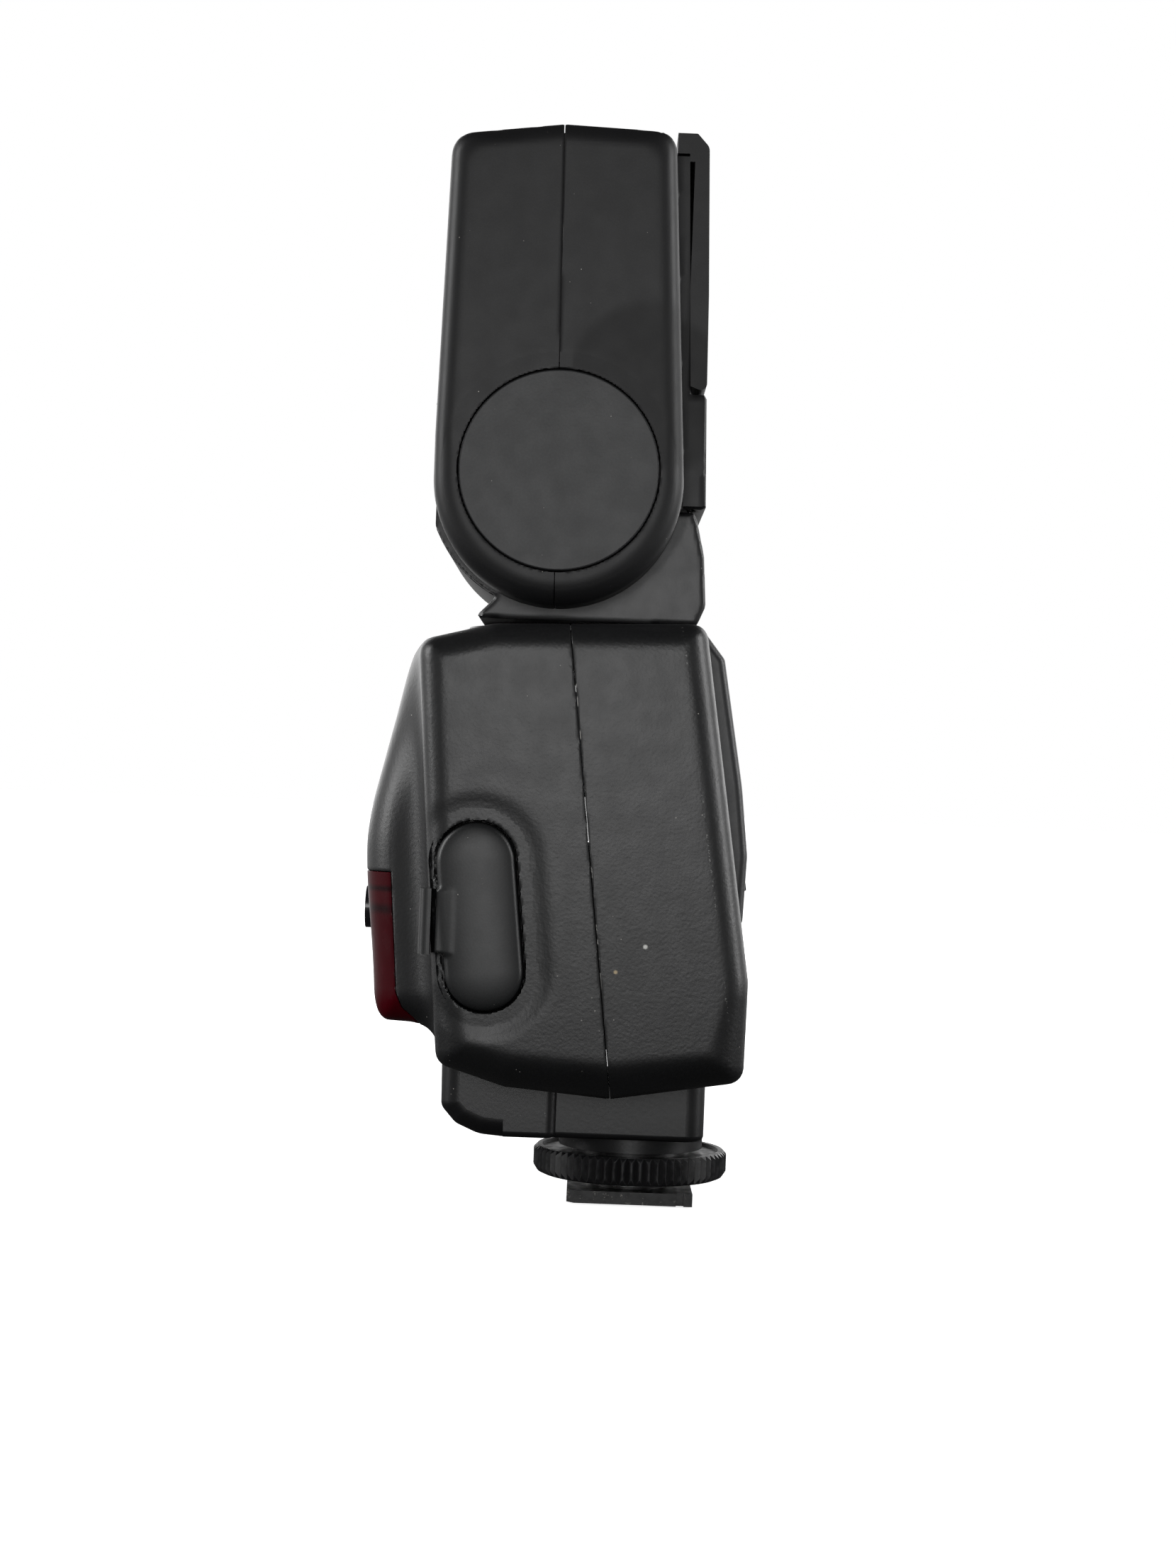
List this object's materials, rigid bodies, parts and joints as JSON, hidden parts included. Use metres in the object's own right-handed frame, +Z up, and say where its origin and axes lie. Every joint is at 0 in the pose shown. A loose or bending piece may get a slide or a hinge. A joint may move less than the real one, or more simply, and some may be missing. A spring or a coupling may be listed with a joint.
{
  "type": "speedlight flash",
  "caption": "Black hot-shoe flash with a tilting, swivelling head on a slanted body, a red front window and a knurled shoe lock wheel.",
  "frame": {"origin": "centre of the shoe foot's underside", "axes": "+Z up through the body and the raised head, -Y the side that faces the subject, +Y the control panel, +X the side with the rubber terminal cover"},
  "size_m": [0.0789, 0.0595, 0.1662],
  "materials": {
    "body_plastic": "fine pebbled black moulded plastic",
    "head_plastic": "smooth matte black moulded plastic",
    "turret_plastic": "matte black moulded plastic",
    "disc_plastic": "fine textured black plastic",
    "panel_plastic": "matte dark grey plastic",
    "key_plastic": "satin grey keys",
    "lamp_plastic": "translucent amber button",
    "red_window": "deep red infrared-pass plastic",
    "dial_plastic": "gloss black dished dial",
    "rubber": "soft black rubber",
    "wheel_black": "black knurled wheel, edges polished by wear",
    "foot_metal": "black-coated foot, scratched at its edges",
    "block_plastic": "matte black plastic with dust",
    "steel": "bare steel",
    "black_steel": "blackened steel screws",
    "gold": "gold-plated contacts",
    "lens_clear": "clear ribbed lens",
    "clear_panel": "clear pull-out panel",
    "white_card": "white card",
    "mirror_metal": "bright reflector",
    "tube_glass": "glass flash tube",
    "lcd_glass": "clear display window",
    "lcd_grey": "grey-green display",
    "circuit": "green circuit board",
    "inner_black": "black inner moulding",
    "cell_wrap": "plain cell sleeve",
    "capacitor_wrap": "dark capacitor sleeve",
    "motor_can": "small motor can"
  },
  "bodies": {
    "body": {"shoe_foot": "foot_metal", "foot_post": "foot_metal", "foot_block": "block_plastic", "foot_front_cap": "block_plastic", "battery_box": "inner_black", "aa_cells": "cell_wrap", "cell_springs": "steel", "door_hinge_pin": "steel", "cover_strap": "rubber", "terminal_block": "inner_black", "control_panel": "panel_plastic", "lcd_window": "lcd_glass", "lcd_module": "lcd_grey", "key_board": "circuit", "af_window": "red_window", "af_lamp": "inner_black", "slave_sensor": "inner_black", "top_ring": "turret_plastic", "main_capacitor": "capacitor_wrap", "main_board": "circuit", "body_screws": "black_steel", "front_shell": "body_plastic", "rear_shell": "body_plastic"},
    "washer": {"clamp_washer": "steel"},
    "wheel": {"lock_wheel": "wheel_black"},
    "lock_pin": {"lock_pin": "steel"},
    "contacts": {"contact_pins": "gold"},
    "battery_door": {"battery_door": "body_plastic", "door_contacts": "steel"},
    "door_latch": {"door_latch": "key_plastic"},
    "terminal_flap": {"terminal_cover": "rubber"},
    "selector": {"slave_selector": "dial_plastic"},
    "power": {"power_switch": "key_plastic"},
    "turret": {"turret_shell": "turret_plastic", "swivel_retainer": "steel"},
    "head": {"head_front_shell": "head_plastic", "head_rear_shell": "head_plastic", "head_screws": "black_steel", "pivot_cover_left": "disc_plastic", "pivot_cover_right": "disc_plastic", "tilt_pins": "steel", "fresnel_lens": "lens_clear", "guide_rods": "steel", "zoom_motor": "motor_can", "flash_board": "circuit", "card_cover": "head_plastic"},
    "tilt_release": {"tilt_release_button": "key_plastic"},
    "zoom": {"zoom_carriage": "inner_black", "reflector": "mirror_metal", "flash_tube": "tube_glass"},
    "screw": {"lead_screw": "steel"},
    "white_card": {"bounce_card": "white_card"},
    "wide_panel": {"wide_panel": "clear_panel"},
    "mode_key": {"mode_key": "key_plastic"},
    "zoom_key": {"zoom_key": "key_plastic"},
    "minus_key": {"minus_key": "key_plastic"},
    "plus_key": {"plus_key": "key_plastic"},
    "select_key": {"select_key": "key_plastic"},
    "test_button": {"test_button": "lamp_plastic"}
  },
  "joints": [
    {"name": "head_swivel", "type": "hinge", "parent": "body", "child": "turret", "pos_m": [0, -0.011, 0.091], "axis": [0, 0, 1], "range_deg": [-90, 180]},
    {"name": "head_tilt", "type": "hinge", "parent": "turret", "child": "head", "pos_m": [0, -0.0152, 0.113], "axis": [1, 0, 0], "range_deg": [0, 90]},
    {"name": "tilt_release_press", "type": "slide", "parent": "head", "child": "tilt_release", "axis": [1, 0, 0], "range_m": [0, 0.0009], "stiffness_N_per_m": 400, "springref_m": -0.0005},
    {"name": "zoom_travel", "type": "slide", "parent": "head", "child": "zoom", "axis": [0, 0, 1], "range_m": [-0.005, 0.006]},
    {"name": "screw_turn", "type": "hinge", "parent": "head", "child": "screw", "pos_m": [0.012, -0.0055, 0.14], "axis": [0, 0, 1], "range_deg": [-1800, 2160]},
    {"name": "white_card_pull", "type": "slide", "parent": "head", "child": "white_card", "axis": [0, 0, 1], "range_m": [0, 0.03]},
    {"name": "wide_panel_pull", "type": "slide", "parent": "head", "child": "wide_panel", "axis": [0, 0, 1], "range_m": [0, 0.03]},
    {"name": "wheel_turn", "type": "hinge", "parent": "washer", "child": "wheel", "pos_m": [0, 0, 0.0059], "axis": [0, 0, 1], "range_deg": [0, 360]},
    {"name": "washer_travel", "type": "slide", "parent": "body", "child": "washer", "axis": [0, 0, -1], "range_m": [0, 0.001]},
    {"name": "lock_pin_travel", "type": "slide", "parent": "body", "child": "lock_pin", "axis": [0, 0, -1], "range_m": [0, 0.0015]},
    {"name": "contact_spring", "type": "slide", "parent": "body", "child": "contacts", "axis": [0, 0, 1], "range_m": [0, 0.0006], "stiffness_N_per_m": 300, "springref_m": -0.0005},
    {"name": "door_swing", "type": "hinge", "parent": "body", "child": "battery_door", "pos_m": [-0.0376, 0.0092, 0.041], "axis": [0, 0, -1], "range_deg": [0, 95]},
    {"name": "latch_slide", "type": "slide", "parent": "battery_door", "child": "door_latch", "axis": [0, -1, 0], "range_m": [0, 0.002]},
    {"name": "flap_fold", "type": "hinge", "parent": "body", "child": "terminal_flap", "pos_m": [0.03885, -0.031, 0.04535], "axis": [0, 0, -1], "range_deg": [0, 90], "stiffness_Nm_per_rad": 0.0008, "springref_deg": -17.19},
    {"name": "selector_turn", "type": "hinge", "parent": "body", "child": "selector", "pos_m": [0.01, -0.0425, 0.0458], "axis": [0, -1, 0], "range_deg": [-45, 45]},
    {"name": "power_slide", "type": "slide", "parent": "body", "child": "power", "axis": [-1, 0, 0], "range_m": [0, 0.004]},
    {"name": "mode_key_press", "type": "slide", "parent": "body", "child": "mode_key", "axis": [0, -0.9882, -0.1529], "range_m": [0, 0.0006], "stiffness_N_per_m": 400, "springref_m": -0.0004},
    {"name": "zoom_key_press", "type": "slide", "parent": "body", "child": "zoom_key", "axis": [0, -0.9882, -0.1529], "range_m": [0, 0.0006], "stiffness_N_per_m": 400, "springref_m": -0.0004},
    {"name": "minus_key_press", "type": "slide", "parent": "body", "child": "minus_key", "axis": [0, -0.9882, -0.1529], "range_m": [0, 0.0006], "stiffness_N_per_m": 400, "springref_m": -0.0004},
    {"name": "plus_key_press", "type": "slide", "parent": "body", "child": "plus_key", "axis": [0, -0.9882, -0.1529], "range_m": [0, 0.0006], "stiffness_N_per_m": 400, "springref_m": -0.0004},
    {"name": "select_key_press", "type": "slide", "parent": "body", "child": "select_key", "axis": [0, -0.9882, -0.1529], "range_m": [0, 0.0006], "stiffness_N_per_m": 400, "springref_m": -0.0004},
    {"name": "test_button_press", "type": "slide", "parent": "body", "child": "test_button", "axis": [0, -0.9882, -0.1529], "range_m": [0, 0.0006], "stiffness_N_per_m": 400, "springref_m": -0.0004}
  ],
  "couplings": [
    {"joint": "wheel_turn", "follows": "washer_travel", "rad_per_m": 6283.2},
    {"joint": "lock_pin_travel", "follows": "washer_travel", "ratio": 1.5},
    {"joint": "screw_turn", "follows": "zoom_travel", "rad_per_m": 6283.2}
  ]
}
